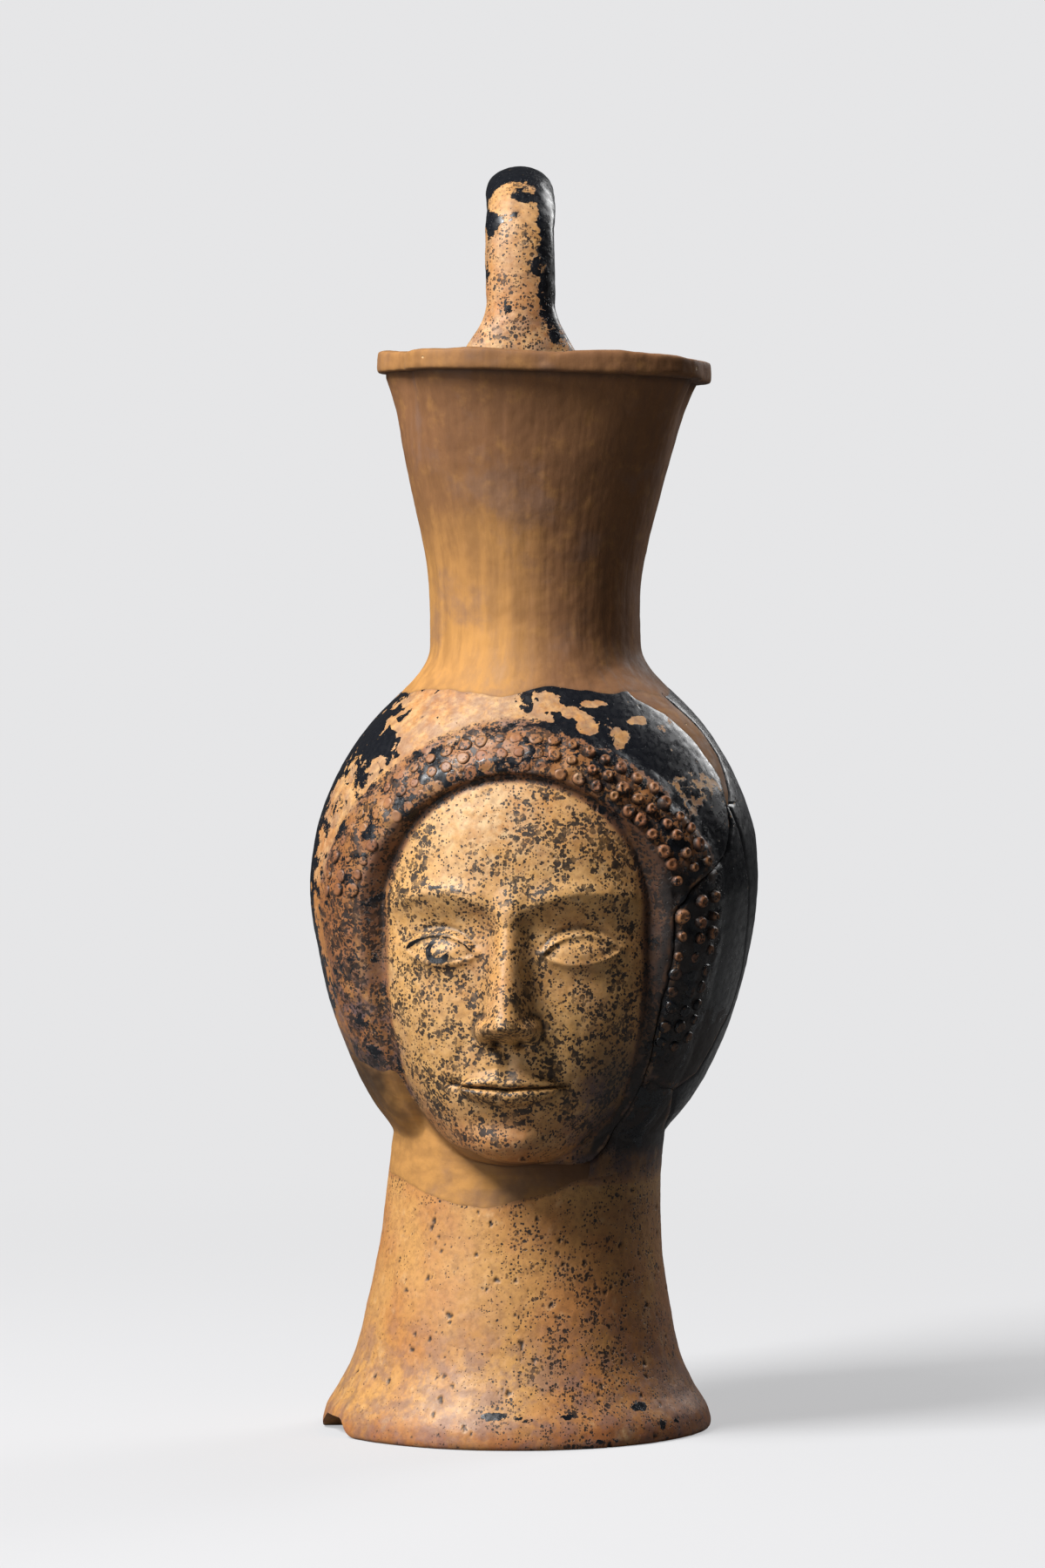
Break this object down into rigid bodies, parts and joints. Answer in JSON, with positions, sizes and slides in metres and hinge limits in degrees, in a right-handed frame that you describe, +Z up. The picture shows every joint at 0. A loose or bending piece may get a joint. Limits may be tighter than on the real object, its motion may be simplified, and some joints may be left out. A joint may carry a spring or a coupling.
{
  "type": "head-shaped pouring jug",
  "caption": "Mended terracotta jug shaped as a woman's head, on a flared throat foot, with a pinched funnel mouth and a high loop handle.",
  "frame": {"origin": "middle of the jug's box on the table plane", "axes": "+Z up, the face looks along -Y, +X to the viewer's right"},
  "size_m": [0.0822, 0.1014, 0.2331],
  "materials": {
    "worn_clay": "fired orange clay with a faint sheen, dark specks and pits",
    "dark_glaze": "blue-black gloss, flaked to the clay in islands",
    "toned_plaster": "matt restoration plaster, brushed ochre and brown"
  },
  "bodies": {
    "root": {"foot_throat": "worn_clay", "floor_disc": "worn_clay", "throat_fill": "toned_plaster", "nape_sherd": "worn_clay", "face_sherd": "worn_clay", "side_sherd": "worn_clay", "back_shell": "dark_glaze", "shoulder_fill": "toned_plaster", "funnel_neck": "toned_plaster", "mouth_lip": "toned_plaster", "handle_rim_root": "worn_clay", "handle_loop": "worn_clay", "handle_head_root": "worn_clay", "hair_pellets_inner": "worn_clay", "side_pellets_inner": "worn_clay", "hair_pellets_middle": "worn_clay", "side_pellets_middle": "worn_clay", "hair_pellets_outer": "worn_clay", "side_pellets_outer": "worn_clay"}
  },
  "joints": []
}
